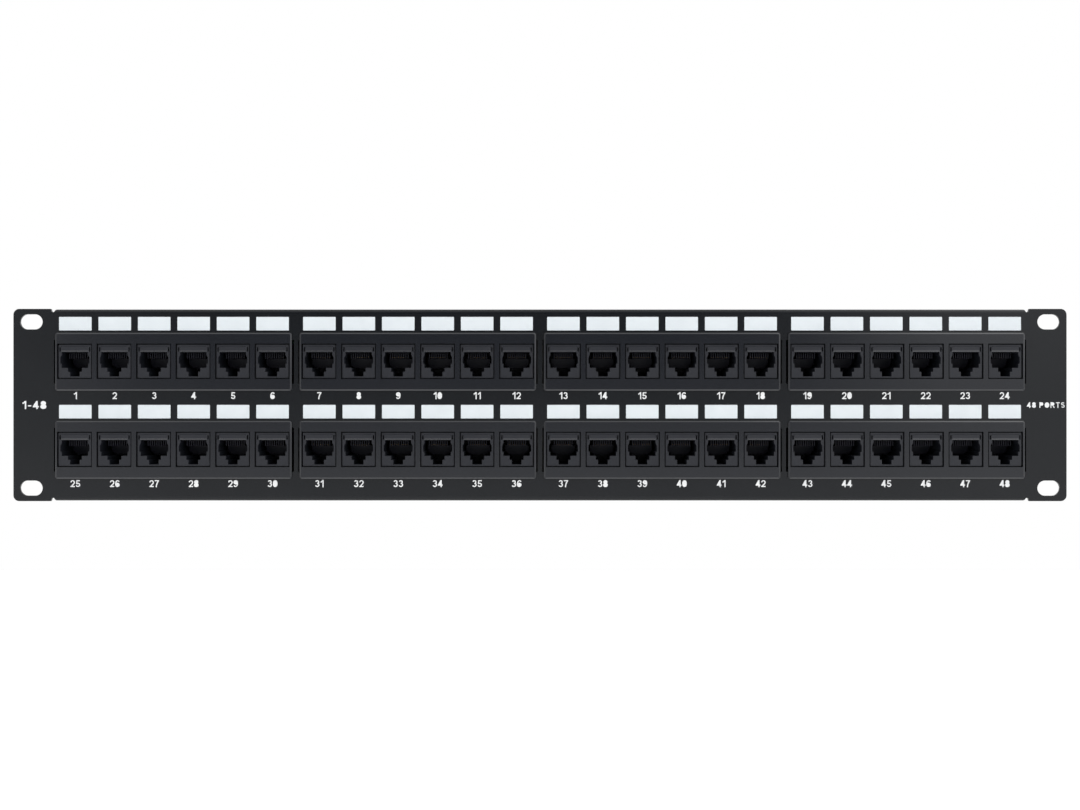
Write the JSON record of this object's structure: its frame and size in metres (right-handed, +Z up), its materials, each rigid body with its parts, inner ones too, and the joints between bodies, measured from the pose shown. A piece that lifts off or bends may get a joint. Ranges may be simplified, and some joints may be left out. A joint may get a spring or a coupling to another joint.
{
  "type": "patch panel",
  "caption": "Flat two-unit rack panel with two rows of modular sockets in clipped-in modules, white label areas above them and punch-down blocks behind.",
  "frame": {"origin": "centre of the mounting plane, the steel sheet's rear face, half way between the rack ears and half way up the panel", "axes": "+X along the panel to the right as seen from the front, +Y out of the back towards the cabling, +Z up"},
  "size_m": [0.4826, 0.0358, 0.0882],
  "materials": {
    "panel_steel": "satin black powder coat",
    "bezel_plastic": "fine-textured black",
    "jack_plastic": "semi-matte black",
    "carrier_plastic": "matte black",
    "board_laminate": "green solder mask",
    "block_plastic": "matte black",
    "housing_plastic": "fine-textured black",
    "label_print": "matte white print",
    "contact_gold": "gold-plated",
    "clip_metal": "tin-plated"
  },
  "bodies": {
    "root": {"face_panel": "panel_steel", "front_bezel_1": "bezel_plastic", "jack_bank_1": "jack_plastic", "contact_carrier_1": "carrier_plastic", "circuit_board_1": "board_laminate", "punchdown_upper_1": "block_plastic", "punchdown_lower_1": "block_plastic", "rear_housing_1": "housing_plastic", "front_bezel_2": "bezel_plastic", "jack_bank_2": "jack_plastic", "contact_carrier_2": "carrier_plastic", "circuit_board_2": "board_laminate", "punchdown_upper_2": "block_plastic", "punchdown_lower_2": "block_plastic", "rear_housing_2": "housing_plastic", "front_bezel_3": "bezel_plastic", "jack_bank_3": "jack_plastic", "contact_carrier_3": "carrier_plastic", "circuit_board_3": "board_laminate", "punchdown_upper_3": "block_plastic", "punchdown_lower_3": "block_plastic", "rear_housing_3": "housing_plastic", "front_bezel_4": "bezel_plastic", "jack_bank_4": "jack_plastic", "contact_carrier_4": "carrier_plastic", "circuit_board_4": "board_laminate", "punchdown_upper_4": "block_plastic", "punchdown_lower_4": "block_plastic", "rear_housing_4": "housing_plastic", "front_bezel_5": "bezel_plastic", "jack_bank_5": "jack_plastic", "contact_carrier_5": "carrier_plastic", "circuit_board_5": "board_laminate", "punchdown_upper_5": "block_plastic", "punchdown_lower_5": "block_plastic", "rear_housing_5": "housing_plastic", "front_bezel_6": "bezel_plastic", "jack_bank_6": "jack_plastic", "contact_carrier_6": "carrier_plastic", "circuit_board_6": "board_laminate", "punchdown_upper_6": "block_plastic", "punchdown_lower_6": "block_plastic", "rear_housing_6": "housing_plastic", "front_bezel_7": "bezel_plastic", "jack_bank_7": "jack_plastic", "contact_carrier_7": "carrier_plastic", "circuit_board_7": "board_laminate", "punchdown_upper_7": "block_plastic", "punchdown_lower_7": "block_plastic", "rear_housing_7": "housing_plastic", "front_bezel_8": "bezel_plastic", "jack_bank_8": "jack_plastic", "contact_carrier_8": "carrier_plastic", "circuit_board_8": "board_laminate", "punchdown_upper_8": "block_plastic", "punchdown_lower_8": "block_plastic", "rear_housing_8": "housing_plastic"}
  },
  "joints": []
}
